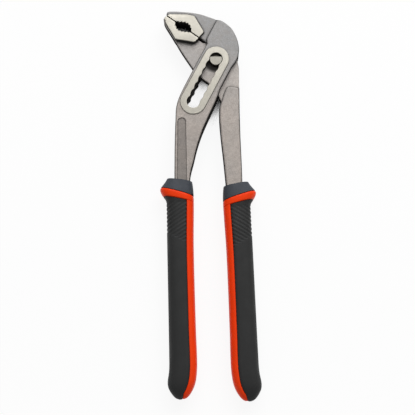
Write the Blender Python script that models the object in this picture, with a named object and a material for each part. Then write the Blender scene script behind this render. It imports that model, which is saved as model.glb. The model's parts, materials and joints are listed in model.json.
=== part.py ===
"""Box-joint water pump pliers, lying flat: the jaws point to +Y and the front faces +Z.

Every shape is drawn around the joint pin: the pin's axis is x = y = 0 and the middle plane of the tool is
z = 0. The finished tool is then stood on the ground plane with its footprint centred on the origin.
"""

import math

import bmesh
import bpy
from mathutils import Matrix, Vector

MM = 0.001

# Clearances
GAP = 0.3 * MM
PIN_CLEARANCE = 0.2 * MM
HOLE_CLEARANCE = 0.1 * MM
JAW_CLEARANCE = 0.25 * MM
FOOT_CLEARANCE = 2.2 * MM

# Joint pin and the notched slot it steps along
PIN_RADIUS = 4.0 * MM
PIN_FLAT = 1.5 * MM
PIN_HEAD_BACK = 0.2 * MM
NOTCH_COUNT = 7
NOTCH_PITCH = 5.35 * MM
NOTCH_DEPTH_LEFT = 0.6 * MM
NOTCH_DEPTH_RIGHT = 0.45 * MM
SLOT_LEAN = math.radians(27)
JAW_OPENING = math.radians(50)

# Half depths, from the middle plane to the front face
TONGUE_HALF = 3.0 * MM
INNER_BAR_HALF = 4.2 * MM
NECK_HALF = 4.6 * MM
JAW_HALF = 6.0 * MM
CHEEK_HALF = 6.2 * MM
BAR_END_HALF = 4.7 * MM
RING_RISE = 0.6 * MM
TANG_HALF = 3.2 * MM

# Plan sizes of the box joint
HUB_RADIUS = 14.0 * MM
RING_WIDTH = 4.2 * MM
CHEEK_LEFT = 10.1 * MM
CHEEK_RIGHT = 11.4 * MM
TAPER_START = -45 * MM
TAPER_END = -86 * MM

# Rounded edges
FORGED_EDGE = 1.5 * MM
NECK_EDGE = 1.0 * MM
TONGUE_EDGE = 0.5 * MM
GROUND_EDGE = 0.35 * MM
PIN_EDGE = 0.15 * MM

# Jaws: the closing line, and the toothed bite for pipes
JAW_TIP = Vector((-32.2, 29.9)) * MM
JAW_ANGLE = math.radians(-35.65)
JAW_LENGTH = 26.0 * MM
BITE_START = 6.6 * MM
BITE_LENGTH = 13.6 * MM
BITE_DEPTH = 3.7 * MM
BITE_SKEW = 1.3
BITE_TEETH = 7
TOOTH_DEPTH = 0.8 * MM
JAW_SETBACK = 0.35 * MM

# Shallow panel sunk in both faces of the slotted lever's bar
PANEL_TOP = Vector((-21.9, -41.8)) * MM
PANEL_TOP_RADIUS = 2.6 * MM
PANEL_END_WIDTH = 6.2 * MM
PANEL_DEPTH = 0.45 * MM

# Grips: place of the top, lean of the handle, and which way the other handle lies
GRIPS = {
    "left": (Vector((-23.3, -78.2)) * MM, math.radians(1.45), 1),
    "right": (Vector((12.6, -80.8)) * MM, math.radians(2.4), -1),
}
GRIP_LENGTHS = {"left": 137.7 * MM, "right": 136.4 * MM}
GRIP_ROUNDNESS = 2.6
COLLAR_TOP = 1.2 * MM
FLANGE_TOP = 9.2 * MM
FLANGE_BOTTOM = 13.6 * MM
SLEEVE_ROOT = 1.0 * MM
STRIP_WIDTH = 4.4 * MM
STRIP_LIMIT = 0.25
COVER_WALL = 1.8 * MM
WALL_LIMIT = 0.4
BAR_INTO_GRIP = 7.4 * MM
TANG_SHORTFALL = 19.7 * MM
TANG_OUTER = 3.5 * MM
TANG_INNER = 4.5 * MM
TANG_TAPER = 1.0 * MM

# Grip outline, in millimetres: distance down from the top and the size there, then distance up from the end
INNER_EDGE = ([(0, 7.9), (5, 8.6), (13, 8.8), (45, 8.1)],
              [(42.7, 8.3), (25.7, 8.6), (18.7, 8.5), (11.7, 7.7), (7.7, 6.5), (4.7, 5.0), (2.2, 3.2), (0.7, 1.4),
               (0, -0.6)])
OUTER_EDGE = ([(0, 7.5), (3, 8.7), (6.9, 10.7), (10.4, 12.4), (12.7, 11.4), (15.7, 8.9), (20, 8.6), (40, 8.6)],
              [(21.7, 8.6), (16.7, 8.9), (11.7, 9.7), (9.7, 9.8), (7.2, 9.4), (4.7, 8.2), (2.2, 6.4), (0.7, 4.7),
               (0, 2.8)])
GRIP_HALF_DEPTH = ([(0, 6.4), (5, 7.3), (10.2, 7.9), (15.8, 7.4), (60, 7.5)],
                   [(19.7, 7.4), (9.7, 6.8), (4.7, 5.2), (1.7, 3.2), (0, 1.2)])
GRIP_SLANT = ([(0, 0.13), (9.2, 0.29), (13.6, 0.23), (45, 0.0)], [(0, 0.0)])

TRAVEL = NOTCH_PITCH * (NOTCH_COUNT - 1)
NOTCH_RADIUS = PIN_RADIUS + PIN_CLEARANCE
RING_HALF = CHEEK_HALF + RING_RISE
SLOT_AXIS = Vector((-math.sin(SLOT_LEAN), -math.cos(SLOT_LEAN)))
SLOT_RIGHT = Vector((math.cos(SLOT_LEAN), -math.sin(SLOT_LEAN)))
JAW_AXIS = Vector((math.cos(JAW_ANGLE), math.sin(JAW_ANGLE)))
JAW_UP = Vector((-math.sin(JAW_ANGLE), math.cos(JAW_ANGLE)))


# Outlines


def plan(*points):
    """Points given in millimetres around the pin."""
    return [Vector(point) * MM for point in points]


def along_slot(down, right):
    """A point given by its distance down the slot from the pin, and its distance right of the slot's axis."""
    return SLOT_AXIS * down + SLOT_RIGHT * right


def on_jaw(along, up):
    """A point given by its distance along the closing line from the tip, and its height above that line."""
    return JAW_TIP + JAW_AXIS * along + JAW_UP * up


def arc(centre, radius, start, end, steps):
    """Points on a circle, with the angles in degrees."""
    angles = [math.radians(start + (end - start) * i / steps) for i in range(steps + 1)]
    return [centre + Vector((math.cos(a), math.sin(a))) * radius for a in angles]


def curve(points, steps=3):
    """A smooth line through a few points."""
    ends = [points[0] * 2 - points[1], *points, points[-1] * 2 - points[-2]]
    line = []
    for before, start, end, after in zip(ends, ends[1:], ends[2:], ends[3:]):
        for i in range(steps):
            t = i / steps
            bend = (end - before) * t + (before * 2 - start * 5 + end * 4 - after) * t**2
            line.append(start + (bend + (start * 3 - before - end * 3 + after) * t**3) / 2)
    return line + [points[-1]]


def value_at(table, side, down):
    """The smooth value of a grip's outline table at a distance down the grip."""
    top, end = table
    line = [(at * MM, value) for at, value in top] + [(GRIP_LENGTHS[side] - at * MM, value) for at, value in end]
    for i, ((start, low), (stop, high)) in enumerate(zip(line, line[1:])):
        if down <= stop or i == len(line) - 2:
            break
    before, after = line[max(i - 1, 0)], line[min(i + 2, len(line) - 1)]
    t = (down - start) / (stop - start)
    leave = (high - before[1]) / (stop - before[0]) * (stop - start)
    arrive = (after[1] - low) / (after[0] - start) * (stop - start)
    return (low * (2 * t**3 - 3 * t**2 + 1) + leave * (t**3 - 2 * t**2 + t)
            + high * (3 * t**2 - 2 * t**3) + arrive * (t**3 - t**2))


def grow(points, distance):
    """An outline moved outwards by a distance."""
    turn = sum(a.cross(b) for a, b in zip(points, points[1:] + points[:1]))
    sign = math.copysign(distance, turn)
    grown = []
    for before, at, after in zip(points[-1:] + points[:-1], points, points[1:] + points[:1]):
        first, second = (at - before).normalized(), (after - at).normalized()
        normal = Vector((first.y + second.y, -first.x - second.x))
        grown.append(at + normal * (sign * 2 / normal.length_squared))
    return grown


# Solids


def new_object(name, bm):
    bmesh.ops.recalc_face_normals(bm, faces=bm.faces)
    mesh = bpy.data.meshes.new(name)
    bm.to_mesh(mesh)
    bm.free()
    piece = bpy.data.objects.new(name, mesh)
    bpy.context.collection.objects.link(piece)
    return piece


def prism(name, points, low, high, edge=0.0, segments=2, shape=None):
    """An outline raised from one depth to another, with its two rims rounded."""
    bm = bmesh.new()
    face = bm.faces.new([bm.verts.new((p.x, p.y, low)) for p in points])
    top = bmesh.ops.extrude_face_region(bm, geom=[face])["geom"]
    lifted = [v for v in top if isinstance(v, bmesh.types.BMVert)]
    bmesh.ops.translate(bm, verts=lifted, vec=(0, 0, high - low))
    if edge:
        rims = [e for e in bm.edges if e.verts[0].co.z == e.verts[1].co.z]
        bmesh.ops.bevel(bm, geom=rims, offset=edge, segments=segments, profile=0.5, affect="EDGES",
                        clamp_overlap=True)
    if shape:
        shape(bm)
    return new_object(name, bm)


def slab(name, points, half, **rims):
    return prism(name, points, -half, half, **rims)


def thin_to_handle(bm):
    """Thins the slotted lever evenly from below the box joint to the grip."""
    bmesh.ops.bisect_plane(bm, geom=bm.verts[:] + bm.edges[:] + bm.faces[:], plane_co=(0, TAPER_START, 0),
                           plane_no=(0, 1, 0))
    for vert in bm.verts:
        share = max(0.0, (TAPER_START - vert.co.y) / (TAPER_START - TAPER_END))
        vert.co.z *= 1 + (BAR_END_HALF / CHEEK_HALF - 1) * share


def loft(name, loops):
    """A closed skin over a row of loops with the same number of points."""
    bm = bmesh.new()
    rings = [[bm.verts.new(point) for point in loop] for loop in loops]
    for ring, following in zip(rings, rings[1:]):
        for i in range(len(ring)):
            bm.faces.new((ring[i - 1], ring[i], following[i], following[i - 1]))
    bm.faces.new(rings[0])
    bm.faces.new(rings[-1])
    return new_object(name, bm)


def combine(piece, other, operation):
    """Adds another solid to a piece, or cuts it away, and drops the other solid."""
    boolean = piece.modifiers.new(operation.lower(), "BOOLEAN")
    boolean.operation = operation
    boolean.solver = "EXACT"
    boolean.object = other
    bpy.context.view_layer.update()
    evaluated = piece.evaluated_get(bpy.context.evaluated_depsgraph_get())
    result = bpy.data.meshes.new_from_object(evaluated)
    piece.modifiers.clear()
    piece.data = result
    bpy.data.objects.remove(other)


def join(piece, *others):
    for other in others:
        combine(piece, other, "UNION")


def cut(piece, *others):
    for other in others:
        combine(piece, other, "DIFFERENCE")


def finish(piece, material, smooth_below=32):
    piece.data.name = piece.name
    piece.data.materials.clear()
    piece.data.materials.append(material)
    piece.data.shade_smooth()
    piece.data.set_sharp_from_angle(angle=math.radians(smooth_below))
    return piece


def steel(name, colour, roughness):
    return surface(name, colour, roughness, 1.0)


def surface(name, colour, roughness, metallic=0.0):
    material = bpy.data.materials.new(name)
    material.use_nodes = True
    shader = material.node_tree.nodes["Principled BSDF"]
    shader.inputs["Base Color"].default_value = (*colour, 1)
    shader.inputs["Roughness"].default_value = roughness
    shader.inputs["Metallic"].default_value = metallic
    return material


# Joint


def slot_outline():
    """The notched slot: a row of round notches joined by a throat that is narrower than the pin."""
    sides = []
    for side, depth in ((1, NOTCH_DEPTH_RIGHT), (-1, NOTCH_DEPTH_LEFT)):
        reach = math.degrees(math.acos((NOTCH_RADIUS - depth) / NOTCH_RADIUS))
        line = []
        for k in range(NOTCH_COUNT):
            start = 90 if k == 0 else reach
            end = -90 if k == NOTCH_COUNT - 1 else -reach
            steps = max(4, round((start - end) / 12))
            for point in arc(Vector((0, -k * NOTCH_PITCH)), NOTCH_RADIUS, start, end, steps):
                line.append(along_slot(-point.y, side * point.x))
        sides.append(line)
    right, left = sides
    return right + left[-2:0:-1]


def ring_outline():
    """The raised ground band that runs round the slot."""
    radius = NOTCH_RADIUS + RING_WIDTH
    tilt = -math.degrees(SLOT_LEAN)
    return (arc(Vector((0, 0)), radius, tilt, tilt + 180, 20)
            + arc(along_slot(TRAVEL, 0), radius, tilt + 180, tilt + 360, 20))


def tongue_foot():
    """Lower edge of the tongue, from the heel of the lower jaw to the handle bar."""
    return plan((-14.9, -5.2), (-8.2, -12.5), (-4.6, -15.4), (1.8, -24.0))


def jaw_back():
    """Outer edge of the lower jaw, from its tip to the cheek."""
    return plan((-34.3, 29.0), (-33.2, 24.6), (-27.2, 14.8), (-23.4, 8.0), (-19.6, 1.9))


def box_outline():
    """The room between the cheeks, open to both sides, that the tongue slides and turns in."""
    outside = Vector((HUB_RADIUS, 0))
    roof = arc(Vector((0, 0)), HUB_RADIUS + GAP, 52, 115, 14)
    heel, corner, foot, bar = tongue_foot()
    fall = (heel - corner).normalized()
    swing = Matrix.Rotation(JAW_OPENING, 2)
    floor = [swing @ jaw_back()[-1], swing @ heel, foot, bar - fall * HUB_RADIUS]
    drop = Vector((fall.y, -fall.x)) * FOOT_CLEARANCE
    floor = [p + SLOT_AXIS * TRAVEL - drop for p in floor]
    left = [along_slot(0, -CHEEK_LEFT) - outside, floor[0] - outside]
    right = [floor[-1] + outside, roof[0] + outside]
    return roof + left + floor + right


# Jaws


def bite(up, tooth):
    """One side of the pipe opening: a skewed arch, with teeth."""
    line = []
    for i in range(2 * BITE_TEETH + 1):
        share = i / (2 * BITE_TEETH)
        skewed = share if up > 0 else 1 - share
        height = BITE_DEPTH * math.sin(math.pi * skewed**BITE_SKEW) - (tooth if i % 2 else 0)
        line.append(on_jaw(BITE_START + BITE_LENGTH * share, up * (JAW_CLEARANCE + max(height, 0))))
    return line


def jaw_edge(up, setback=0.0):
    """Working edge of one jaw from tip to throat, set back by a little for the forged body behind the ground face."""
    level = up * (JAW_CLEARANCE + setback)
    tooth = 0 if setback else TOOTH_DEPTH
    shift = JAW_UP * (up * setback)
    opening = [p + shift for p in bite(up, tooth)]
    return [on_jaw(setback, level), *opening, on_jaw(JAW_LENGTH - setback, level)]


def upper_ground_face():
    return jaw_edge(1) + plan((-7.9, 18.5), (-8.1, 19.5), (-14.0, 29.8), (-19.0, 30.9), (-30.0, 30.9))


def upper_neck():
    """Forged body of the upper jaw, from the throat along the back of the jaw."""
    back = curve(plan((-32.3, 31.5), (-30.7, 33.4), (-21.5, 33.2), (-10.7, 31.7), (0.4, 27.8)), 4)
    throat = [on_jaw(JAW_LENGTH + 8 * MM, JAW_CLEARANCE)]
    return jaw_edge(1, JAW_SETBACK) + throat + plan((-1, 15), (4, 21)) + back[::-1]


def lower_ground_face():
    return jaw_edge(-1) + plan((-14.2, 11.7), (-26.3, 13.9), (-26.9, 14.9), (-32.7, 24.8), (-33.6, 28.4))


def tongue_outline():
    """Lower jaw, hub and tongue in one plate."""
    hub = arc(Vector((0, 0)), HUB_RADIUS, 0, 116, 22)
    throat = [on_jaw(JAW_LENGTH + 4 * MM, -JAW_CLEARANCE)]
    bar = plan((5, -32), (13, -32), (14.9, -24), (14.9, -5))
    return hub + throat + jaw_edge(-1, JAW_SETBACK)[::-1] + curve(jaw_back(), 4) + curve(tongue_foot(), 4) + bar


# Handles


def cheek_outline():
    """Shoulder, cheeks and bar of the slotted lever."""
    bar_end = GRIPS["left"][0].y - BAR_INTO_GRIP
    shoulder = plan((0.6, 27.2), (2.8, 26.9), (5.3, 25.5), (9.7, 21.7), (12.1, 17.8), (13.9, 13.4), (14.8, 8.9),
                    (14.9, 5.5), (14.1, 1.3), (12.4, -2.2)) + [along_slot(0.2 * MM, CHEEK_RIGHT)]
    right = [along_slot(TRAVEL - 15.6 * MM, CHEEK_RIGHT), along_slot(TRAVEL - 7.4 * MM, CHEEK_RIGHT + 1.1 * MM),
             along_slot(TRAVEL + 5.7 * MM, 13.2 * MM), along_slot(TRAVEL + 15.6 * MM, 14.0 * MM),
             along_slot(TRAVEL + 25.2 * MM, 15.6 * MM), along_slot(TRAVEL + 34.5 * MM, 17.9 * MM),
             along_slot(TRAVEL + 43.2 * MM, 20.0 * MM), Vector((-16.9 * MM, bar_end))]
    left = [Vector((-26.4 * MM, bar_end)), *plan((-26.4, -67), (-26.3, -54)),
            along_slot(TRAVEL + 16 * MM, -4.6 * MM), along_slot(TRAVEL + 7.7 * MM, -CHEEK_LEFT + 1.8 * MM),
            along_slot(TRAVEL - 1.2 * MM, -CHEEK_LEFT + 0.3 * MM), along_slot(13.4 * MM, -CHEEK_LEFT),
            along_slot(-4.8 * MM, -CHEEK_LEFT)]
    throat = plan((-5.9, 10.6), (-6.2, 13.9))
    return curve(shoulder) + curve(right) + curve(left) + throat


def inner_bar_outline():
    """The thick handle bar of the inner lever, below the step to the tongue."""
    end = (GRIPS["right"][0].y - BAR_INTO_GRIP) / MM
    left = curve(plan((6.3, end), (6.0, -81), (4.4, -64.4), (2.9, -50.6), (2.0, -38.9), (2.2, -31.7), (3.5, -27.2),
                      (5.2, -21.8), (6.3, -18.9)))
    right = plan((15.05, -18.3), (15.15, -33), (15.6, -51.7), (16.35, -70), (16.8, end))
    return left + plan((7.3, -17.6), (9.6, -17.4)) + right


def into_grip(side):
    """The matrix from a grip's own frame, with x towards the other handle and y down its back, to the tool's."""
    top, lean, inward = GRIPS[side]
    return (Matrix.Translation((top.x, top.y, 0)) @ Matrix.Rotation(lean, 4, "Z")
            @ Matrix.Diagonal((inward, -1, 1, 1)))


def tang_outline(side, room=0.0):
    """The steel inside a grip, from the bar's end to near the grip's end, with room around it on request."""
    start, end = BAR_INTO_GRIP / 2, GRIP_LENGTHS[side] - TANG_SHORTFALL + room
    outer, inner = TANG_OUTER + room, TANG_INNER + room
    corners = [(-outer, start), (inner, start), (inner - TANG_TAPER, end), (TANG_TAPER - outer, end)]
    return [(into_grip(side) @ Vector((x, y, 0))).xy for x, y in corners]


def grip_size(side, down):
    """Middle, half width and half depth of a grip's section."""
    inner, outer = value_at(INNER_EDGE, side, down) * MM, value_at(OUTER_EDGE, side, down) * MM
    return (inner - outer) / 2, (inner + outer) / 2, value_at(GRIP_HALF_DEPTH, side, down) * MM


def grip_loop(side, down, outline):
    """A section of a grip in its place: the outline is a list of across and depth."""
    slant = value_at(GRIP_SLANT, side, down)
    return [into_grip(side) @ Vector((x, down + slant * x, z)) for x, z in outline]


def rounded(half_width, half_depth, x):
    """Depth of the rounded section at a place across it."""
    share = min(1.0, abs(x) / half_width)
    return half_depth * (1 - share**GRIP_ROUNDNESS) ** (1 / GRIP_ROUNDNESS)


def whole_section(side, down):
    middle, half_width, half_depth = grip_size(side, down)
    inner = arch(middle, half_width, half_depth, 0, half_width, 8)
    outer = arch(middle, half_width, half_depth, 0, -half_width, 8)
    return inner + outer[-2:0:-1]


def strip_border(side, down):
    """Where the sleeve's strip meets the cover, across a section, with the section's sizes and the cover's wall."""
    middle, half_width, half_depth = grip_size(side, down)
    wall = min(COVER_WALL, WALL_LIMIT * half_width, WALL_LIMIT * half_depth)
    border = half_width - STRIP_WIDTH
    return middle, half_width, half_depth, wall, max(border, STRIP_LIMIT * half_width)


def cover_section(side, down):
    """The soft cover: a C over the outer side of the sleeve."""
    middle, half_width, half_depth, wall, border = strip_border(side, down)
    outside = arch(middle, half_width, half_depth, border, -half_width, 10)
    inside = arch(middle, half_width - wall, half_depth - wall, border, wall - half_width, 10)
    return outside + inside[::-1]


def sleeve_section(side, down):
    """The firm sleeve: full size on the strip, and set in under the cover."""
    middle, half_width, half_depth, wall, border = strip_border(side, down)
    room = wall + GAP
    strip = arch(middle, half_width, half_depth, border + GAP, half_width, 7)
    core = arch(middle, half_width - room, half_depth - room, border + GAP, room - half_width, 10)
    return strip + core[::-1]


def arch(middle, half_width, half_depth, start, far, steps):
    """Part of a section's outline, from the front at one place across it, round its far side, to the back."""
    line = []
    for i in range(2 * steps + 1):
        share = math.sin((1 - abs(i / steps - 1)) * math.pi / 2)
        x = start + (far - start) * share
        z = rounded(half_width, half_depth, x)
        line.append((middle + x, z if i <= steps else -z))
    return line


def evenly(start, end, count):
    return [start + (end - start) * i / count for i in range(count + 1)]


def stations(start, end, count):
    """Places down the grip, closer together near both ends."""
    return [start + (end - start) * (1 - math.cos(i / count * math.pi)) / 2 for i in range(count + 1)]


def grip(side, bar, bar_half, bar_shape, firm, soft):
    """Collar, sleeve and cover of one handle, around the lever's bar and tang."""
    def steel_room(name):
        around_bar = slab(name + "_bar_room", grow(bar, GAP), bar_half + GAP, edge=FORGED_EDGE, shape=bar_shape)
        around_tang = slab(name + "_tang_room", tang_outline(side, GAP), TANG_HALF + GAP)
        return around_bar, around_tang

    collar_stations = evenly(COLLAR_TOP, FLANGE_TOP - GAP, 6)
    collar = loft(side + "_grip_collar", [grip_loop(side, s, whole_section(side, s)) for s in collar_stations])
    cut(collar, *steel_room(collar.name))

    flange_stations = evenly(FLANGE_TOP, FLANGE_BOTTOM, 10)
    flange = loft(side + "_grip_flange", [grip_loop(side, s, whole_section(side, s)) for s in flange_stations])
    cover_stations = stations(FLANGE_BOTTOM + GAP, GRIP_LENGTHS[side], 28)
    sleeve_stations = [FLANGE_BOTTOM - SLEEVE_ROOT, *cover_stations[:-1]]
    sleeve = loft(side + "_grip_sleeve", [grip_loop(side, s, sleeve_section(side, s)) for s in sleeve_stations])
    join(sleeve, flange)
    cut(sleeve, *steel_room(sleeve.name))

    cover = loft(side + "_grip_cover", [grip_loop(side, s, cover_section(side, s)) for s in cover_stations])
    return finish(collar, soft), finish(sleeve, firm), finish(cover, soft)


# Pieces


def slotted_lever(material):
    lever = slab("slotted_lever", cheek_outline(), CHEEK_HALF, edge=FORGED_EDGE, shape=thin_to_handle)
    join(lever,
         slab("neck", upper_neck(), NECK_HALF, edge=NECK_EDGE),
         slab("upper_face", upper_ground_face(), JAW_HALF, edge=GROUND_EDGE, segments=1),
         slab("ring", ring_outline(), RING_HALF, edge=GROUND_EDGE, segments=1),
         slab("left_tang", tang_outline("left"), TANG_HALF))
    cut(lever,
        slab("box", box_outline(), TONGUE_HALF + GAP),
        slab("slot", slot_outline(), RING_HALF + PIN_RADIUS))
    panel_end = Vector((PANEL_TOP.x + GAP, GRIPS["left"][0].y - BAR_INTO_GRIP / 2))
    panel = arc(PANEL_TOP, PANEL_TOP_RADIUS, 0, 180, 12)
    panel += [panel_end - Vector((PANEL_END_WIDTH / 2, 0)), panel_end + Vector((PANEL_END_WIDTH / 2, 0))]
    for low, high in ((CHEEK_HALF - PANEL_DEPTH, CHEEK_HALF * 2), (-CHEEK_HALF * 2, PANEL_DEPTH - CHEEK_HALF)):
        cut(lever, prism("panel", panel, low, high, shape=thin_to_handle))
    return finish(lever, material)


def inner_lever(material):
    lever = slab("inner_lever", tongue_outline(), TONGUE_HALF, edge=TONGUE_EDGE, segments=1)
    join(lever,
         slab("lower_face", lower_ground_face(), JAW_HALF, edge=GROUND_EDGE, segments=1),
         slab("bar", inner_bar_outline(), INNER_BAR_HALF, edge=FORGED_EDGE),
         slab("right_tang", tang_outline("right"), TANG_HALF))
    hole = arc(Vector((0, 0)), PIN_RADIUS + HOLE_CLEARANCE, 0, 352.5, 47)
    cut(lever, slab("pin_hole", hole, INNER_BAR_HALF))
    return finish(lever, material)


def joint_pin(material):
    """The pin: round through the hub, with a flat on each head where it sits in the slot."""
    head = RING_HALF - PIN_HEAD_BACK
    pin = slab("joint_pin", arc(Vector((0, 0)), PIN_RADIUS, 0, 352.5, 47), head, edge=PIN_EDGE, segments=1)
    flat = [Vector((x, y)) for x, y in ((-PIN_RADIUS * 2, PIN_FLAT), (PIN_RADIUS * 2, PIN_FLAT),
                                        (PIN_RADIUS * 2, PIN_RADIUS * 2), (-PIN_RADIUS * 2, PIN_RADIUS * 2))]
    shank = TONGUE_HALF + GAP
    cut(pin, prism("front_flat", flat, shank, head * 2), prism("back_flat", flat, -head * 2, -shank))
    return finish(pin, material)


def main():
    for old in list(bpy.data.objects):
        bpy.data.objects.remove(old)

    forged = steel("forged_steel", (0.42, 0.41, 0.40), 0.42)
    ground = steel("ground_steel", (0.62, 0.60, 0.57), 0.28)
    orange = surface("orange_plastic", (0.90, 0.055, 0.004), 0.38)
    charcoal = surface("charcoal_rubber", (0.032, 0.034, 0.035), 0.55)

    still = [slotted_lever(forged)]
    still += grip("left", cheek_outline(), CHEEK_HALF, thin_to_handle, orange, charcoal)
    pin = joint_pin(ground)
    turning = [inner_lever(forged)]
    turning += grip("right", inner_bar_outline(), INNER_BAR_HALF, None, orange, charcoal)

    frame = bpy.data.objects.new("pliers", None)
    pivot = bpy.data.objects.new("jaw_pivot_axis", None)
    for empty in (frame, pivot):
        bpy.context.collection.objects.link(empty)
    pivot.parent = frame
    for piece in (*still, pin):
        piece.parent = frame
    for piece in turning:
        piece.parent = pivot

    corners = [vert.co for piece in (*still, pin, *turning) for vert in piece.data.vertices]
    low = Vector([min(c[i] for c in corners) for i in range(3)])
    high = Vector([max(c[i] for c in corners) for i in range(3)])
    middle = (low + high) / 2
    frame.location = (-middle.x, -middle.y, -low.z)
    bpy.context.view_layer.update()


main()
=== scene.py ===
"""Finish of a pair of water pump pliers: forged and ground steel levers, joint pin and two-colour grips."""

import json
import math
from typing import NamedTuple

import bmesh
import bpy
from bpy.props import FloatProperty, FloatVectorProperty, IntProperty, PointerProperty
from mathutils import Matrix, Vector


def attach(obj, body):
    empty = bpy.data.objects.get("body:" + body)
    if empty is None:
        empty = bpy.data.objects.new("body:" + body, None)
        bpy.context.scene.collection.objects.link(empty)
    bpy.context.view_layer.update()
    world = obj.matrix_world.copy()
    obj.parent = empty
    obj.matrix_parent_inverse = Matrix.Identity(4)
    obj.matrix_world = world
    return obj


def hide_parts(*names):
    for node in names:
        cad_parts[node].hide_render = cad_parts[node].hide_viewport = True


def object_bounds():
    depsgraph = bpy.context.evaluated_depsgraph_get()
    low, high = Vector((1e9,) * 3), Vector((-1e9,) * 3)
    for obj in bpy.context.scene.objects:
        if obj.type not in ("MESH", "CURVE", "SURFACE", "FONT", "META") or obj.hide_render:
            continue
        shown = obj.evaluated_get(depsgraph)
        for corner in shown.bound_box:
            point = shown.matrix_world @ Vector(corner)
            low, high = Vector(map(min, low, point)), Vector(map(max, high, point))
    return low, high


bl_info = {
    "name": "Water Pump Pliers",
    "version": (1, 0, 0),
    "blender": (4, 5, 0),
    "location": "View3D > Sidebar > Pliers",
    "description": "Finishes the steel, the joint pin and the grips of a pair of water pump pliers",
    "category": "Object",
}

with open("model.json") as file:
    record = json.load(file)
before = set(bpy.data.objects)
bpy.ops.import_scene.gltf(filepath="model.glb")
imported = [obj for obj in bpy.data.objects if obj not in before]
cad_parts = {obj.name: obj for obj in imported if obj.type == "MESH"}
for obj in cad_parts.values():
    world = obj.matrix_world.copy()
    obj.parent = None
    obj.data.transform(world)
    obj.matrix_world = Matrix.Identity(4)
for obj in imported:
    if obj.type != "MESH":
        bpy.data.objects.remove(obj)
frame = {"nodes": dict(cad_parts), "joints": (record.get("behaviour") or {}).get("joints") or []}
CAD_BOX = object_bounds()
MM = 0.001
PIN = Vector(next(joint["pos_m"] for joint in frame["joints"] if joint["name"] == "jaw_pivot"))

# Levers: levels from the middle plane, and places from the pin
BAND_LEVEL = 6.4 * MM
JAW_FACE_LEVEL = 5.5 * MM
TONGUE_LEVEL = 3.4 * MM
JAW_RIGHT = -6.5 * MM
JAW_BOTTOM = 11 * MM
PANEL_MIDDLE = -21.7 * MM
PANEL_REACH = 3.2 * MM
PANEL_TOP = -39 * MM

# Share of a face's normal along z: a wall's at most, a rim's wall's at most and a rim's flat face's at least
WALL_RISE = 0.5
RIM_WALL_RISE = 0.05
RIM_FACE_RISE = 0.95

# Order of the levers' materials
FORGED, GROUND, SCALE_AND_SHADE, PANEL, TONGUE = range(5)

# Joining of a CAD node's triangles
SAME_POINT = 0.001 * MM
FLAT_ANGLE = math.radians(0.2)

# Steel: the grain, the cooler head and its fade into the bars, the painted shadow round the pin, the painted
# shade in corners, and the way of the scratches
GRAIN_LIGHT = 1.5
GRAIN_DARK = 0.5
HEAD_TINT = (0.72, 0.795, 0.865)
HEAD_FADE_LOW = PIN.y - 40 * MM
HEAD_FADE_HIGH = PIN.y + 10 * MM
PIN_SHADOW_FULL = 6.3 * MM
PIN_SHADOW_CLEAR = 9 * MM
CORNER_SHADE_REACH = 2.2 * MM
SCRATCH_STRETCH = (1, 14, 1)
SCRATCH_TURN = math.radians(20)


class Handle(NamedTuple):
    """A grip: its body, its top from the pin, lean in degrees, way to the other handle and length."""

    body: str
    top: Vector
    lean: float
    inward: int
    length: float


# Grips, with all their sizes in millimetres
HANDLES = {
    "left": Handle("slotted_side", Vector((-23.3, -78.2, 0)), lean=1.45, inward=1, length=137.7),
    "right": Handle("inner_side", Vector((12.6, -80.8, 0)), lean=2.4, inward=-1, length=136.4),
}

# Grip outline: distance down from the top and the size there, then distance up from the end
INNER_EDGE = (
    [(0, 7.9), (5, 8.6), (13, 8.8), (45, 8.1)],
    [
        (42.7, 8.3), (25.7, 8.6), (18.7, 8.5), (11.7, 7.7), (7.7, 6.5), (4.7, 5.0), (2.2, 3.2), (0.7, 1.4),
        (0, -0.6),
    ],
)
OUTER_EDGE = (
    [(0, 7.5), (3, 8.7), (6.9, 10.7), (10.4, 12.4), (12.7, 11.4), (15.7, 8.9), (20, 8.6), (40, 8.6)],
    [
        (21.7, 8.6), (16.7, 8.9), (11.7, 9.7), (9.7, 9.8), (7.2, 9.4), (4.7, 8.2), (2.2, 6.4), (0.7, 4.7),
        (0, 2.8),
    ],
)
HALF_DEPTH = (
    [(0, 6.4), (5, 7.3), (10.2, 7.9), (15.8, 7.4), (60, 7.5)],
    [(19.7, 7.4), (9.7, 6.8), (4.7, 5.2), (1.7, 3.2), (0, 1.2)],
)
SLANT = ([(0, 0.13), (9.2, 0.29), (13.6, 0.23), (45, 0.0)], [(0, 0.0)])
ROUNDNESS = 2.6
SKIN_INSET = 0.02

# Flange, strip, bore and cover, and the seam between strip and cover
FLANGE_TOP = 9.2
FLANGE_BOTTOM = 13.6
FLANGE_EDGE = 0.7
FLANGE_SQUARENESS = 6
FLANGE_STEPS = 12
STRIP_WIDTH = 4.4
STRIP_LEAST = 0.25
STRIP_START = FLANGE_BOTTOM + 0.01
STRIP_SHORTFALL = 0.35
BORE_MIDDLE = 0.5
BORE_WIDTH = 5.4
BORE_DEPTH = 4.3
BORE_SHORTFALL = 19
COVER_WALL = 1.8
WALL_SHARE = 0.4
SEAM_GAP = 0.3
SEAM_DEPTH = 0.35
SEAM_REACH = 0.8

# Ribs of the covers: where they rise and end, and the slant of the line that they end on
RIBS_START = 14.8
RIBS_WHOLE = 16.3
RIBS_END = 39.5
RIBS_END_SLANT = 0.54
RIBS_END_FADE = 0.6
RIBS_CLEAR = 46
GROOVE_NARROWNESS = 1.5

# Steps down a grip: over the ribs, and then the least, the most and the share of the way that is left
RIB_STEP = 0.26
LEAST_STEP = 0.12
MOST_STEP = 2.5
STEP_SHARE = 0.13

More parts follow.
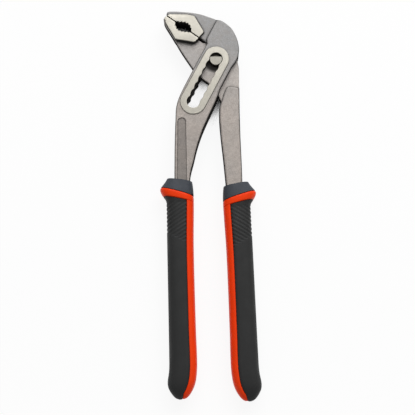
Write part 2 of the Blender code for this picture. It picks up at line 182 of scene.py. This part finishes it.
# Stage, in metres: the middle of the view from the pin, the lights from that middle, and the floor
VIEW_MIDDLE = Vector((-5.48, -96.49, 0)) * MM
KEY_SIZE = (1.6, 0.8)
KEY_PLACE = Vector((0.3, 1.15, 1.0))
TOP_SIZE = (1.6, 1.0)
TOP_PLACE = Vector((0.1, 0.85, 1.15))
FLOOR_HALF = 20
FLOOR_SHIFT = 5
FLOOR_GAP = 0.2 * MM
OPENING_REACH = 14 * MM
OPENING_SHADE = 0.06

# Camera: the sensor's width in millimetres, and the nearest that it sees in metres
SENSOR_WIDTH = 36
NEAR_CLIP = 0.01


# Settings


class SteelSettings(bpy.types.PropertyGroup):
    """Colours and edges of the levers and the pin."""

    forged: FloatVectorProperty(
        name="Forged steel", description="Colour of the forged faces", subtype="COLOR", size=3,
        default=(0.495, 0.449, 0.414), min=0, max=1,
    )
    ground: FloatVectorProperty(
        name="Ground steel", description="Colour of the ground faces", subtype="COLOR", size=3,
        default=(0.52, 0.496, 0.435), min=0, max=1,
    )
    # Dark colour of the walls, partly forge scale and partly painted shade; it also paints the shade in
    # corners and the shadow round the pin
    scale: FloatVectorProperty(
        name="Scale", description="Colour of the walls that no wheel reached", subtype="COLOR", size=3,
        default=(0.034, 0.0325, 0.031), min=0, max=1,
    )
    rim: FloatProperty(
        name="Rim", description="Width of the broken edge round the slot and the panel", subtype="DISTANCE",
        unit="LENGTH", default=0.25 * MM, min=0.05 * MM, max=0.6 * MM,
    )


class GripSettings(bpy.types.PropertyGroup):
    """Colours and ribs of the grips."""

    strip: FloatVectorProperty(
        name="Strip", description="Colour of the sleeve's flange and strip", subtype="COLOR", size=3,
        default=(0.92, 0.05, 0.003), min=0, max=1,
    )
    cover: FloatVectorProperty(
        name="Cover", description="Colour of the soft cover", subtype="COLOR", size=3,
        default=(0.02, 0.0205, 0.0205), min=0, max=1,
    )
    collar: FloatVectorProperty(
        name="Collar", description="Colour of the collar above the flange", subtype="COLOR", size=3,
        default=(0.045, 0.052, 0.064), min=0, max=1,
    )
    rib_pitch: FloatProperty(
        name="Rib pitch", description="Distance from rib to rib down the grip, in millimetres",
        default=2.6, min=1, max=6,
    )
    rib_depth: FloatProperty(
        name="Rib depth", description="Depth of the grooves between the ribs, in millimetres",
        default=0.36, min=0, max=1,
    )
    rib_rise: FloatProperty(
        name="Rib rise", description="Rise of the ribs towards the strip", default=0.62, min=0, max=1.5,
    )
    steps: IntProperty(
        name="Steps", description="Points over each curved side of a section", default=22, min=8, max=60,
    )


class StageSettings(bpy.types.PropertyGroup):
    """Floor, light and camera."""

    floor: FloatVectorProperty(
        name="Floor", description="Colour of the floor", subtype="COLOR", size=3,
        default=(0.96, 0.96, 0.96), min=0, max=1,
    )
    lift: FloatProperty(
        name="Lift", description="How far the floor is lifted to white", subtype="FACTOR",
        default=0.9, min=0, max=1,
    )
    key: FloatProperty(
        name="Key", description="Power of the light beyond the jaws", unit="POWER", default=17, min=0,
    )
    top: FloatProperty(
        name="Top", description="Power of the light overhead", unit="POWER", default=4.3, min=0,
    )
    sky: FloatProperty(
        name="Sky", description="Strength of the light from all round", default=0.38, min=0, max=2,
    )
    tilt: FloatProperty(
        name="Tilt", description="Lean of the camera towards the handles", subtype="ANGLE", unit="ROTATION",
        default=math.radians(11), min=0, max=math.radians(80),
    )
    distance: FloatProperty(
        name="Distance", description="Distance of the camera from the tool", subtype="DISTANCE",
        unit="LENGTH", default=0.62, min=0.2, max=3,
    )
    lens: FloatProperty(
        name="Lens", description="Focal length of the camera", subtype="DISTANCE_CAMERA",
        default=84.92, min=20, max=300,
    )


# Materials


class Value:
    """A socket of a finish: Python's operators on it add Math nodes."""

    def __init__(self, finish, socket):
        self.finish = finish
        self.socket = socket

    def __add__(self, other):
        return self.finish.maths("ADD", self, other)

    def __sub__(self, other):
        return self.finish.maths("SUBTRACT", self, other)

    def __rsub__(self, other):
        return self.finish.maths("SUBTRACT", other, self)

    def __mul__(self, other):
        return self.finish.maths("MULTIPLY", self, other)

    __radd__ = __add__
    __rmul__ = __mul__


class Finish:
    """A material that is built from nodes around one shader."""

    def __init__(self, name, metallic=0.0, gloss=0.5):
        self.material = bpy.data.materials.new(name)
        self.material.use_nodes = True
        self.tree = self.material.node_tree
        self.shader = self.tree.nodes["Principled BSDF"]
        self.shader.inputs["Metallic"].default_value = metallic
        self.shader.inputs["Specular IOR Level"].default_value = gloss
        self.place = self.node("ShaderNodeTexCoord", output="Object")

    def node(self, kind, settings=None, inputs=None, output=0):
        """Adds a node: its settings first, then the values or links of its sockets."""
        made = self.tree.nodes.new(kind)
        for name, value in (settings or {}).items():
            setattr(made, name, value)
        for name, value in (inputs or {}).items():
            self.feed(made.inputs[name], value)
        return Value(self, made.outputs[output])

    def feed(self, socket, value):
        """Links a value to a socket, or sets a number or colour on it."""
        if isinstance(value, Value):
            self.tree.links.new(value.socket, socket)
        elif socket.type == "RGBA":
            socket.default_value = (*value, 1)
        else:
            socket.default_value = value

    def maths(self, operation, first, second):
        return self.node("ShaderNodeMath", {"operation": operation}, {0: first, 1: second})

    def mix(self, factor, first, second):
        """The first colour where the factor is 0, and the second where it is 1."""
        return self.node(
            "ShaderNodeMix", {"data_type": "RGBA", "blend_type": "MIX"}, {0: factor, 6: first, 7: second},
            output=2,
        )

    def noise(self, size, detail, stretch=(1, 1, 1), turn=0.0):
        """Even noise with features of a size in metres, stretched and turned on request."""
        place = self.node(
            "ShaderNodeMapping", {"vector_type": "POINT"},
            {"Vector": self.place, "Rotation": (0, 0, turn), "Scale": stretch},
        )
        return self.node(
            "ShaderNodeTexNoise", {"noise_dimensions": "3D"},
            {"Vector": place, "Scale": 1 / size, "Detail": detail, "Roughness": 0.6},
        )

    def between(self, value, low, high):
        """A mask that rises from 0 to 1 as the value goes from low to high."""
        return self.node(
            "ShaderNodeMapRange", {"interpolation_type": "SMOOTHSTEP", "clamp": True},
            {"Value": value, "From Min": low, "From Max": high},
        )

    def patches(self, size, detail, low=0.35, high=0.7):
        """A soft mask of uneven patches of a size in metres."""
        return self.between(self.noise(size, detail), low, high)

    def along(self, axis):
        """The place along one of the tool's axes, in metres."""
        return self.node("ShaderNodeSeparateXYZ", None, {"Vector": self.place}, output=axis)

    def openness(self, reach, samples, own_piece):
        """How open the surface is within a reach in metres, to its own piece or to every piece."""
        return self.node(
            "ShaderNodeAmbientOcclusion", {"samples": samples, "only_local": own_piece}, {"Distance": reach},
            output="AO",
        )

    def corners(self, reach):
        """A mask of painted shade in the inner corners of the piece, from how open they are within a reach in
        metres.
        """
        return 1 - self.between(self.openness(reach, samples=8, own_piece=True), low=0.6, high=0.95)

    def pin_shadow_mask(self, full, clear):
        """A mask round the pin's axis for the painted shadow of the pin: whole within one radius, and gone at
        another.
        """
        across, along = self.along("X") - PIN.x, self.along("Y") - PIN.y
        return 1 - self.between(across * across + along * along, full**2, clear**2)

    def dress(self, colour, roughness, height, depth):
        """Feeds the shader: colour, roughness and a relief of a depth in metres."""
        self.feed(self.shader.inputs["Base Color"], colour)
        self.feed(self.shader.inputs["Roughness"], roughness)
        bump = self.node("ShaderNodeBump", None, {"Strength": 1.0, "Distance": depth, "Height": height})
        self.feed(self.shader.inputs["Normal"], bump)
        return self.material


def shade(colour, share):
    """A colour made lighter or darker by a share."""
    return tuple(min(1.0, channel * share) for channel in colour)


def forged_steel(steel, name="forged_steel_finish", share=1.0, cooling=0.85, pin_shadow=0.0):
    """Blasted forging: fine grain, cooler on the head, with painted shade and dark scale in corners, and on
    request a painted shadow round the pin.
    """
    finish = Finish(name, metallic=1.0)
    grain = finish.noise(0.5 * MM, detail=4)
    cloud = finish.patches(14 * MM, detail=2, high=0.65)
    patch = finish.patches(2.6 * MM, detail=3)
    warm = shade(steel.forged, share)
    cool = tuple(channel * tint for channel, tint in zip(warm, HEAD_TINT))
    head = finish.between(finish.along("Y"), HEAD_FADE_LOW, HEAD_FADE_HIGH)
    tint = 0.15 * cloud + cooling * head
    light = finish.mix(tint, shade(warm, GRAIN_LIGHT), shade(cool, GRAIN_LIGHT))
    dark = finish.mix(tint, shade(warm, GRAIN_DARK), shade(cool, GRAIN_DARK))
    colour = finish.mix(grain, light, dark)
    colour = finish.mix(patch * 0.3, colour, shade(warm, 0.62))
    # Painted shade in the inner corners, drawn in the dark colour that also stands for forge scale
    colour = finish.mix(finish.corners(CORNER_SHADE_REACH) * 0.9, colour, steel.scale)
    # Painted shadow of the pin on the tongue: a dark disc round the pin's axis
    if pin_shadow:
        colour = finish.mix(finish.pin_shadow_mask(PIN_SHADOW_FULL, PIN_SHADOW_CLEAR) * pin_shadow, colour, steel.scale)
    return finish.dress(colour, roughness=0.62 + grain * 0.16, height=grain, depth=0.03 * MM)


def scale_and_shade_steel(steel):
    """Walls and the hidden faces between the cheeks: a dark colour that is partly forge scale and partly
    painted shade, with a little bare metal on its grain.
    """
    finish = Finish("scaled_steel_finish", gloss=0.0)
    grain = finish.noise(0.6 * MM, detail=4)
    cloud = finish.patches(6 * MM, detail=3)
    colour = finish.mix(cloud * 0.7, steel.scale, shade(steel.scale, 1.5))
    bare = finish.between(grain, low=0.5, high=0.75)
    colour = finish.mix(bare * 0.14, colour, shade(steel.forged, 0.6))
    return finish.dress(colour, roughness=0.55 + grain * 0.2, height=grain, depth=0.04 * MM)


def ground_steel(steel, name="ground_steel_finish", share=1.0):
    """Ground face: fine straight scratches and a brighter, warmer sheen."""
    finish = Finish(name, metallic=1.0)
    scratch = finish.noise(0.9 * MM, detail=4, stretch=SCRATCH_STRETCH, turn=SCRATCH_TURN)
    cloud = finish.patches(5 * MM, detail=2)
    bright = shade(steel.ground, share)
    colour = finish.mix(cloud * 0.6, bright, shade(bright, 0.86))
    scored = finish.between(scratch, low=0.4, high=0.75)
    colour = finish.mix(scored * 0.35, colour, shade(bright, 0.7))
    return finish.dress(colour, roughness=0.24 + scratch * 0.16, height=scratch, depth=0.012 * MM)


def soft_rubber(name, colour):
    """Soft moulded rubber: a fine matt grain with faint rubbed patches."""
    finish = Finish(name, gloss=0.35)
    grain = finish.noise(0.28 * MM, detail=3)
    rubbed = finish.patches(9 * MM, detail=3, low=0.4)
    base = finish.mix(rubbed * 0.35, colour, shade(colour, 1.25))
    base = finish.mix(grain * 0.25, base, shade(colour, 0.7))
    return finish.dress(base, roughness=0.66 - rubbed * 0.1, height=grain, depth=0.03 * MM)


def firm_plastic(colour):
    """Firm moulded plastic: satin, with a slight unevenness of colour."""
    finish = Finish("orange_plastic_finish", gloss=0.15)
    grain = finish.noise(0.5 * MM, detail=2)
    cloud = finish.patches(12 * MM, detail=2, high=0.65)
    base = finish.mix(cloud * 0.3, colour, shade(colour, 0.88))
    return finish.dress(base, roughness=0.36 + grain * 0.1, height=grain, depth=0.008 * MM)


# Shapes


def merged_copy(node):
    """A copy of a CAD node's mesh with its triangles joined and its flat faces whole."""
    bm = bmesh.new()
    bm.from_mesh(frame["nodes"][node].data)
    bmesh.ops.remove_doubles(bm, verts=bm.verts, dist=SAME_POINT)
    bmesh.ops.dissolve_limit(bm, angle_limit=FLAT_ANGLE, verts=bm.verts, edges=bm.edges)
    return bm


def break_rims(bm, width):
    """Breaks the sharp edges where a flat front or back face meets an upright wall."""
    rims = []
    for edge in bm.edges:
        if len(edge.link_faces) == 2:
            wall, face = sorted(abs(face.normal.z) for face in edge.link_faces)
            if wall < RIM_WALL_RISE and face > RIM_FACE_RISE and edge.is_convex:
                rims.append(edge)
    bmesh.ops.bevel(
        bm, geom=rims, offset=width, offset_type="OFFSET", affect="EDGES", segments=2, profile=0.5,
        material=-1, clamp_overlap=True,
    )


def put(bm, name, body, node, materials, sharp=50):
    """Makes a piece that stands for a CAD node and moves with its body; edges past an angle stay sharp."""
    mesh = bpy.data.meshes.new(name)
    bm.to_mesh(mesh)
    bm.free()
    for material in materials:
        mesh.materials.append(material)
    mesh.shade_smooth()
    mesh.set_sharp_from_angle(angle=math.radians(sharp))
    piece = bpy.data.objects.new(name, mesh)
    even = piece.modifiers.new("even_shading", "WEIGHTED_NORMAL")
    even.keep_sharp = True
    bpy.context.scene.collection.objects.link(piece)
    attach(piece, body)
    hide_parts(node)


def loft(sections):
    """A closed body through a row of sections: a disc is extruded from one to the next."""
    bm = bmesh.new()
    first = bmesh.ops.create_circle(bm, cap_ends=True, segments=len(sections[0]), radius=1)["verts"]
    face = first[0].link_faces[0]
    start = face.edges[:]
    for i, section in enumerate(sections):
        if i:
            face = bmesh.ops.extrude_discrete_faces(bm, faces=[face])["faces"][0]
        for vert, point in zip(face.verts, section):
            vert.co = point
    bmesh.ops.edgeloop_fill(bm, edges=start)
    bmesh.ops.recalc_face_normals(bm, faces=bm.faces)
    return bm


def outline(table, down, length):
    """The smooth size that a grip's table gives at a distance down the grip."""
    top, end = table
    line = top + [(length - up, size) for up, size in end]
    for i, ((start, low), (stop, high)) in enumerate(zip(line, line[1:])):
        if down <= stop or i == len(line) - 2:
            break
    before, after = line[max(i - 1, 0)], line[min(i + 2, len(line) - 1)]
    t = (down - start) / (stop - start)
    leave = (high - before[1]) / (stop - before[0]) * (stop - start)
    arrive = (after[1] - low) / (after[0] - start) * (stop - start)
    return (
        low * (2 * t**3 - 3 * t**2 + 1) + leave * (t**3 - 2 * t**2 + t)
        + high * (3 * t**2 - 2 * t**3) + arrive * (t**3 - t**2)
    )


def smooth_step(low, high, value):
    """A share that rises smoothly from 0 to 1 as the value goes from low to high."""
    t = min(1.0, max(0.0, (value - low) / (high - low)))
    return t * t * (3 - 2 * t)


def seam_edge(distance):
    """How far a skin is drawn in at a distance from the seam."""
    return SEAM_DEPTH * (1 - smooth_step(0, SEAM_REACH, distance))


class Section:
    """A cut across a grip, in millimetres: x runs to the other handle and z out of the front."""

    def __init__(self, side, down, inset=0.0):
        self.handle = HANDLES[side]
        self.down = down
        inner, outer = self.size(INNER_EDGE), self.size(OUTER_EDGE)
        self.middle = (inner - outer) / 2
        self.width = (inner + outer) / 2 - inset - SKIN_INSET
        self.depth = self.size(HALF_DEPTH) - inset - SKIN_INSET
        self.slant = self.size(SLANT)
        self.wall = min(COVER_WALL, WALL_SHARE * self.width, WALL_SHARE * self.depth)
        self.border = max(self.width - STRIP_WIDTH, STRIP_LEAST * self.width)

    def size(self, table):
        """What one of the grip's tables gives here."""
        return outline(table, self.down, self.handle.length)

    def arch(self, start, far, steps, inset=0.0):
        """Points from the front at one place, round the far side, to the back."""
        width, depth = self.width - inset, self.depth - inset
        points = []
        for i in range(2 * steps + 1):
            x = start + (far - start) * math.sin((1 - abs(i / steps - 1)) * math.pi / 2)
            share = min(1.0, abs(x) / width)
            z = depth * (1 - share**ROUNDNESS) ** (1 / ROUNDNESS)
            points.append(Vector((x, z if i <= steps else -z)))
        return points

    def outward(self, point):
        """The way out of the surface at a point of the outline."""
        x, z = point.x / self.width, point.y / self.depth
        way = Vector((
            math.copysign(abs(x) ** (ROUNDNESS - 1), x) / self.width,
            math.copysign(abs(z) ** (ROUNDNESS - 1), z) / self.depth,
        ))
        return way.normalized() if way.length else Vector((0, 0))

    def set(self, points):
        """The points in their place on the tool, in metres."""
        lean = Matrix.Rotation(math.radians(self.handle.lean), 4, "Z")
        turn = lean @ Matrix.Diagonal((self.handle.inward, -1, 1, 1))
        placed = []
        for point in points:
            x = self.middle + point.x
            place = turn @ Vector((x, self.down + self.slant * x, point.y))
            placed.append(PIN + (self.handle.top + place) * MM)
        return placed


def grip_stops(top, bottom, fine_to=0.0, fine=RIB_STEP):
    """Places down a grip: close together down to one place on request, and towards the rounded end."""
    stops = [top]
    while stops[-1] < bottom:
        left = bottom - stops[-1]
        step = fine if stops[-1] < fine_to else max(LEAST_STEP, min(MOST_STEP, left * STEP_SHARE))
        stops.append(min(bottom, stops[-1] + step))
    return stops


# Operators


class PLIERS_OT_levers(bpy.types.Operator):
    """Finish the two levers: forged faces, ground jaws and ring, and a dark colour of scale and painted shade
    on the walls
    """

    bl_idname = "pliers.levers"
    bl_label = "Levers"

    def execute(self, context):
        steel = context.scene.pliers_steel
        materials = [
            forged_steel(steel),
            ground_steel(steel),
            scale_and_shade_steel(steel),
            forged_steel(steel, "panel_steel_finish", share=0.7),
            # The tongue's steel carries the painted shadow of the pin
            forged_steel(steel, "tongue_steel_finish", share=1.12, cooling=0.5, pin_shadow=0.9),
        ]
        for node, body in (("slotted_lever", "slotted_side"), ("inner_lever", "inner_side")):
            bm = merged_copy(node)
            break_rims(bm, steel.rim)
            for face in bm.faces:
                face.material_index = self.material_of(face, node)
            put(bm, node + "_steel", body, node, materials)
        return {"FINISHED"}

    def material_of(self, face, node):
        """Which of the materials a face has, by its place and the way it looks."""
        place = face.calc_center_median() - PIN
        level = abs(place.z)
        on_jaw = place.x < JAW_RIGHT and place.y > JAW_BOTTOM and level > JAW_FACE_LEVEL
        # Walls take the dark colour: forge scale and painted shade
        if abs(face.normal.z) < WALL_RISE:
            return SCALE_AND_SHADE
        if on_jaw or level > BAND_LEVEL:
            return GROUND
        if all(self.in_panel(vert.co - PIN) for vert in face.verts):
            return PANEL
        # Below the tongue's level the slotted lever's faces lie in the room between the cheeks: painted shade
        # in the dark colour
        if level < TONGUE_LEVEL:
            return TONGUE if node == "inner_lever" else SCALE_AND_SHADE
        return FORGED

    def in_panel(self, place):
        """Whether a place from the pin is on the sunk panel of the slotted lever's bar."""
        return abs(place.x - PANEL_MIDDLE) < PANEL_REACH and place.y < PANEL_TOP


class PLIERS_OT_pin(bpy.types.Operator):
    """Finish the joint pin"""

    bl_idname = "pliers.pin"
    bl_label = "Joint pin"

    def execute(self, context):
        worn = ground_steel(context.scene.pliers_steel, "pin_steel_finish", share=0.72)
        bm = merged_copy("joint_pin")
        put(bm, "joint_pin_steel", "pin_body", "joint_pin", [worn], sharp=30)
        return {"FINISHED"}


class PLIERS_OT_collars(bpy.types.Operator):
    """Finish the collars at the top of the grips"""

    bl_idname = "pliers.collars"
    bl_label = "Collars"

    def execute(self, context):
        rubber = soft_rubber("collar_rubber_finish", context.scene.pliers_grip.collar)
        for side, handle in HANDLES.items():
            node = side + "_grip_collar"
            bm = merged_copy(node)
            put(bm, node + "_rubber", handle.body, node, [rubber], sharp=40)
        return {"FINISHED"}


class PLIERS_OT_sleeves(bpy.types.Operator):
    """Make the firm sleeves with their flange and strip"""

    bl_idname = "pliers.sleeves"
    bl_label = "Sleeves"

    def execute(self, context):
        grip = context.scene.pliers_grip
        plastic = firm_plastic(grip.strip)
        middle, half = (FLANGE_TOP + FLANGE_BOTTOM) / 2, (FLANGE_BOTTOM - FLANGE_TOP) / 2
        for side, handle in HANDLES.items():
            # From the bore's end up to its mouth, over the flange and down the strip
            sections = []
            for down in (handle.length - BORE_SHORTFALL, FLANGE_TOP):
                bore = Section(side, down)
                bore.middle, bore.width, bore.depth, bore.border = BORE_MIDDLE, BORE_WIDTH, BORE_DEPTH, 0.0
                sections.append(self.section(bore, grip.steps, room=0.0))
            for i in range(2 * FLANGE_STEPS + 1):
                share = math.sin((i / FLANGE_STEPS - 1) * math.pi / 2)
                rounding = FLANGE_EDGE * (1 - math.sqrt(1 - share**FLANGE_SQUARENESS))
                cut = Section(side, middle + half * share, rounding)
                sections.append(self.section(cut, grip.steps, room=0.0))
            for down in grip_stops(STRIP_START, handle.length - STRIP_SHORTFALL):
                cut = Section(side, down)
                sections.append(self.section(cut, grip.steps, room=cut.wall + SEAM_GAP))
            node = side + "_grip_sleeve"
            put(loft(sections), node + "_plastic", handle.body, node, [plastic])
        return {"FINISHED"}

    def section(self, cut, steps, room):
        """The strip at full size, and the core set in by the room for the cover."""
        start = cut.border + SEAM_GAP
        strip = cut.arch(start, cut.width, steps // 2)
        turn = start if room else cut.border
        if room:
            for point in strip:
                point -= cut.outward(point) * seam_edge(point.x - start)
        core = cut.arch(turn, room - cut.width, steps, room)
        return cut.set(strip + core[::-1])


class PLIERS_OT_covers(bpy.types.Operator):
    """Make the soft covers with their slanting ribs"""

    bl_idname = "pliers.covers"
    bl_label = "Covers"

    def execute(self, context):
        grip = context.scene.pliers_grip
        rubber = soft_rubber("cover_rubber_finish", grip.cover)
        for side, handle in HANDLES.items():
            sections = []
            for down in grip_stops(FLANGE_BOTTOM + SEAM_GAP, handle.length, fine_to=RIBS_CLEAR):
                cut = Section(side, down)
                skin = cut.arch(cut.border, -cut.width, grip.steps)
                for point in skin:
                    drawn_in = seam_edge(cut.border - point.x) + self.groove(cut, point, grip)
                    point -= cut.outward(point) * drawn_in
                lining = cut.arch(cut.border, cut.wall - cut.width, grip.steps, cut.wall)
                sections.append(cut.set(skin + lining[::-1]))
            node = side + "_grip_cover"
            put(loft(sections), node + "_rubber", handle.body, node, [rubber])
        return {"FINISHED"}

    def groove(self, cut, point, grip):
        """Depth of the grooves between the ribs, which end on a line that slants the other way."""
        x = cut.middle + point.x
        down = cut.down + cut.slant * x
        turn = (down + grip.rib_rise * x) / grip.rib_pitch
        past_end = down - RIBS_END - RIBS_END_SLANT * x
        ribbed = smooth_step(RIBS_START, RIBS_WHOLE, down)
        ribbed *= 1 - smooth_step(-RIBS_END_FADE, RIBS_END_FADE, past_end)
        return grip.rib_depth * ribbed * (0.5 + 0.5 * math.cos(2 * math.pi * turn)) ** GROOVE_NARROWNESS


class PLIERS_OT_stage(bpy.types.Operator):
    """Set the floor, the lights and the camera"""

    bl_idname = "pliers.stage"
    bl_label = "Stage"

    def execute(self, context):
        scene, stage = context.scene, context.scene.pliers_stage
        target = PIN + VIEW_MIDDLE
        self.floor(scene, stage)
        self.sky(scene, stage)
        self.lamp(scene, "key_light", stage.key, KEY_SIZE, target + KEY_PLACE, target)
        self.lamp(scene, "top_light", stage.top, TOP_SIZE, target + TOP_PLACE, target)
        self.camera(scene, stage, target)
        scene.view_settings.view_transform = "Standard"
        return {"FINISHED"}

    def floor(self, scene, stage):
        """A pale paper floor with painted shade in the deep openings of the tool."""
        finish = Finish("floor_paper")
        cloud = finish.noise(0.4, detail=2)
        openness = finish.openness(OPENING_REACH, samples=16, own_piece=False)
        open_floor = finish.between(openness, low=0.2, high=0.32)
        colour = finish.mix(cloud * 0.2, stage.floor, shade(stage.floor, 0.985))
        # Painted shade: the floor turns dark grey where the tool closes it in
        colour = finish.mix(open_floor, shade(stage.floor, OPENING_SHADE), colour)
        finish.dress(colour, roughness=0.9 - cloud * 0.05, height=cloud, depth=0.0)
        self.whiten(finish, open_floor * stage.lift)
        bm = bmesh.new()
        bmesh.ops.create_grid(bm, x_segments=1, y_segments=1, size=FLOOR_HALF)
        bmesh.ops.translate(bm, verts=bm.verts, vec=(FLOOR_SHIFT, 0, CAD_BOX[0].z - FLOOR_GAP))
        mesh = bpy.data.meshes.new("floor")
        bm.to_mesh(mesh)
        bm.free()
        mesh.materials.append(finish.material)
        floor = bpy.data.objects.new("floor", mesh)
        scene.collection.objects.link(floor)

    def whiten(self, finish, lift):
        """Lifts the open floor towards white where the camera or a mirror sees it; the shadow stays."""
        camera, mirror, glass = (
            finish.node("ShaderNodeLightPath", output=ray)
            for ray in ("Is Camera Ray", "Is Glossy Ray", "Is Transmission Ray")
        )
        seen = finish.maths("MAXIMUM", finish.maths("MAXIMUM", camera, mirror), glass)
        white = finish.node("ShaderNodeEmission", None, {"Color": (1, 1, 1), "Strength": 1.0})
        paper = Value(finish, finish.shader.outputs[0])
        both = finish.node("ShaderNodeMixShader", None, {0: seen * lift, 1: paper, 2: white})
        finish.feed(finish.tree.nodes["Material Output"].inputs["Surface"], both)

    def sky(self, scene, stage):
        """An even white light from all round."""
        world = bpy.data.worlds.new("studio")
        world.use_nodes = True
        scene.world = world
        background = world.node_tree.nodes["Background"]
        background.inputs["Color"].default_value = (1, 1, 1, 1)
        background.inputs["Strength"].default_value = stage.sky

    def lamp(self, scene, name, power, size, place, target):
        """A flat light that looks at the target."""
        light = bpy.data.lights.new(name, "AREA")
        light.energy = power
        light.shape = "RECTANGLE"
        light.size, light.size_y = size
        lamp = bpy.data.objects.new(name, light)
        lamp.location = place
        lamp.rotation_euler = (target - place).to_track_quat("-Z", "Y").to_euler()
        scene.collection.objects.link(lamp)

    def camera(self, scene, stage, target):
        """The camera above the tool, which leans back towards the handles."""
        lens = bpy.data.cameras.new("photo_camera")
        lens.lens = stage.lens
        lens.sensor_width = SENSOR_WIDTH
        lens.clip_start = NEAR_CLIP
        camera = bpy.data.objects.new("photo_camera", lens)
        back = Vector((0, -math.sin(stage.tilt), math.cos(stage.tilt)))
        camera.location = target + back * stage.distance
        camera.rotation_euler = (stage.tilt, 0, 0)
        scene.collection.objects.link(camera)
        scene.camera = camera


class PLIERS_PT_panel(bpy.types.Panel):
    """The pliers' pieces and their settings"""

    bl_label = "Pliers"
    bl_space_type = "VIEW_3D"
    bl_region_type = "UI"
    bl_category = "Pliers"

    def draw(self, context):
        scene = context.scene
        for operator in OPERATORS:
            self.layout.operator(operator.bl_idname)
        for settings in (scene.pliers_steel, scene.pliers_grip, scene.pliers_stage):
            box = self.layout.box()
            for name in settings.__annotations__:
                box.prop(settings, name)


OPERATORS = (
    PLIERS_OT_levers,
    PLIERS_OT_pin,
    PLIERS_OT_collars,
    PLIERS_OT_sleeves,
    PLIERS_OT_covers,
    PLIERS_OT_stage,
)
CLASSES = (SteelSettings, GripSettings, StageSettings, *OPERATORS, PLIERS_PT_panel)


def register():
    for cls in CLASSES:
        bpy.utils.register_class(cls)
    bpy.types.Scene.pliers_steel = PointerProperty(type=SteelSettings)
    bpy.types.Scene.pliers_grip = PointerProperty(type=GripSettings)
    bpy.types.Scene.pliers_stage = PointerProperty(type=StageSettings)


def unregister():
    del bpy.types.Scene.pliers_steel
    del bpy.types.Scene.pliers_grip
    del bpy.types.Scene.pliers_stage
    for cls in reversed(CLASSES):
        bpy.utils.unregister_class(cls)


def main():
    register()
    bpy.ops.pliers.levers()
    bpy.ops.pliers.pin()
    bpy.ops.pliers.collars()
    bpy.ops.pliers.sleeves()
    bpy.ops.pliers.covers()
    bpy.ops.pliers.stage()


if __name__ == "__main__":
    main()
